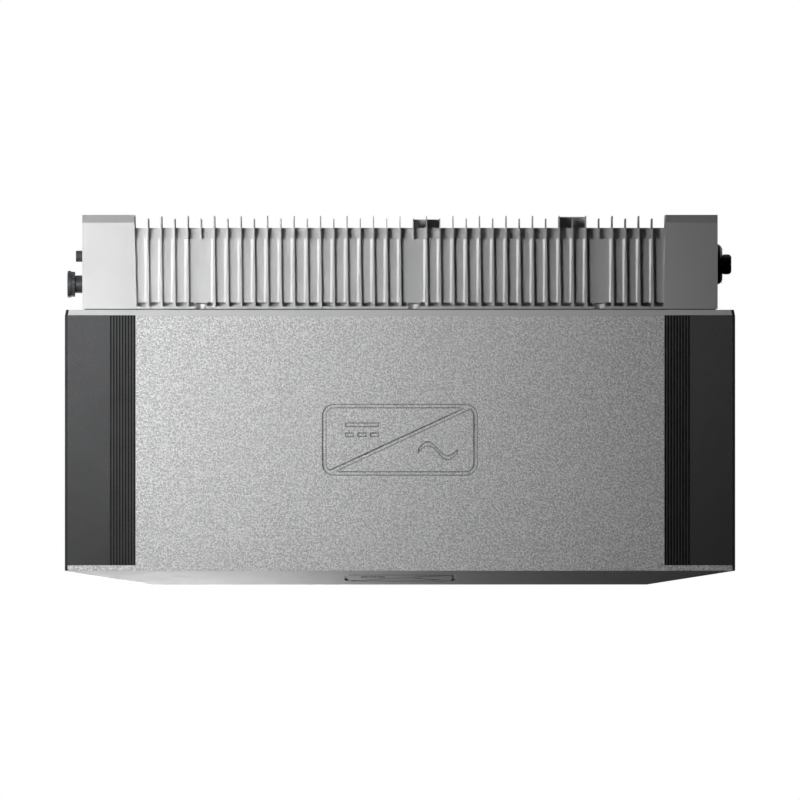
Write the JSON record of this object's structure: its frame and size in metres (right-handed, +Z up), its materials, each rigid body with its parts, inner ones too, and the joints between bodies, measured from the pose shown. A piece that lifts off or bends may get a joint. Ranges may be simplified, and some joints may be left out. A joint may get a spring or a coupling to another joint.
{
  "type": "string inverter",
  "caption": "Wall-mounted solar string inverter with a silver front shell, ribbed dark side strips, a finned heatsink crown, a rotary DC isolator and plug sockets underneath.",
  "frame": {"origin": "centre of the wall bracket's bolt pattern, on the wall plane", "axes": "+Y into the wall, the front faces -Y; +Z up; +X to the right seen from the front"},
  "size_m": [0.6706, 0.18, 0.3705],
  "materials": {
    "cover_silver": "fine sand-texture silver powder coat",
    "strip_black": "satin black moulding",
    "cheek_black": "matt black moulding",
    "cast_silver": "smooth silver paint on die-cast aluminium",
    "plated_steel": "zinc plated sheet steel",
    "screw_steel": "stainless steel",
    "seal_rubber": "matt rubber",
    "switch_plastic": "light grey moulding",
    "black_plastic": "satin black moulding",
    "grey_plastic": "satin dark grey moulding",
    "orange_plastic": "satin orange moulding",
    "brass_stud": "turned brass",
    "circuit_board": "green solder resist on glass laminate",
    "capacitor_sleeve": "shrunk sleeve",
    "film_case": "resin filled case",
    "relay_case": "moulded case",
    "ferrite": "coated toroid",
    "inductor_can": "potted can",
    "module_case": "moulded case",
    "terminal_green": "moulded terminal strip",
    "wire_red": "wire insulation",
    "wire_brown": "wire insulation"
  },
  "bodies": {
    "casing": {"front_cover": "cover_silver", "left_trim_strip": "strip_black", "right_trim_strip": "strip_black", "left_side_cheek": "cheek_black", "right_side_cheek": "cheek_black", "left_side_rail": "plated_steel", "right_side_rail": "plated_steel", "cover_standoffs": "plated_steel", "heatsink_housing": "cast_silver", "end_box_covers": "plated_steel", "crown_screws": "screw_steel", "crown_gasket": "seal_rubber", "inner_housing": "cast_silver", "inner_lid": "plated_steel", "lid_gasket": "seal_rubber", "lid_screws": "screw_steel", "wall_bracket": "plated_steel", "left_hanger": "plated_steel", "right_hanger": "plated_steel", "hanger_screws": "screw_steel", "lower_bumpers": "seal_rubber", "dc_switch_body": "switch_plastic", "dc_switch_nut": "screw_steel", "dc_switch_collar": "black_plastic", "pressure_vent": "grey_plastic", "com_port_socket": "grey_plastic", "com_port_nut": "screw_steel", "com_port_seal": "seal_rubber", "pv_positive_connectors": "black_plastic", "pv_negative_connectors": "black_plastic", "pv_connector_nuts": "black_plastic", "battery_connectors": "orange_plastic", "battery_connector_nuts": "black_plastic", "ac_connector": "black_plastic", "ac_connector_nut": "black_plastic", "signal_connector": "black_plastic", "earth_stud": "brass_stud", "earth_washer": "screw_steel", "earth_nut": "screw_steel", "power_board": "circuit_board", "board_standoffs": "plated_steel", "dc_link_capacitors": "capacitor_sleeve", "film_capacitors": "film_case", "relays": "relay_case", "emi_chokes": "ferrite", "boost_inductors": "inductor_can", "ac_inductors": "inductor_can", "power_modules": "module_case", "power_stage_board": "circuit_board", "control_board": "circuit_board", "control_standoffs": "plated_steel", "comm_board": "circuit_board", "fan_frame": "black_plastic", "terminal_block": "terminal_green", "dc_wiring": "wire_red", "ac_wiring": "wire_brown"},
    "isolator_knob": {"dc_switch_knob": "black_plastic", "dc_switch_shaft": "plated_steel"},
    "port_cap": {"com_port_cap": "grey_plastic"},
    "fan": {"fan_rotor": "black_plastic"}
  },
  "joints": [
    {"name": "isolator_turn", "type": "hinge", "parent": "casing", "child": "isolator_knob", "pos_m": [0.31775, -0.11, 0.1267], "axis": [1, 0, 0], "range_deg": [0, 90]},
    {"name": "port_cap_pull", "type": "slide", "parent": "casing", "child": "port_cap", "axis": [-1, 0, 0], "range_m": [0, 0.025]},
    {"name": "fan_spin", "type": "hinge", "parent": "casing", "child": "fan", "pos_m": [-0.19, -0.06, -0.108], "axis": [0, 1, 0], "continuous": true}
  ]
}
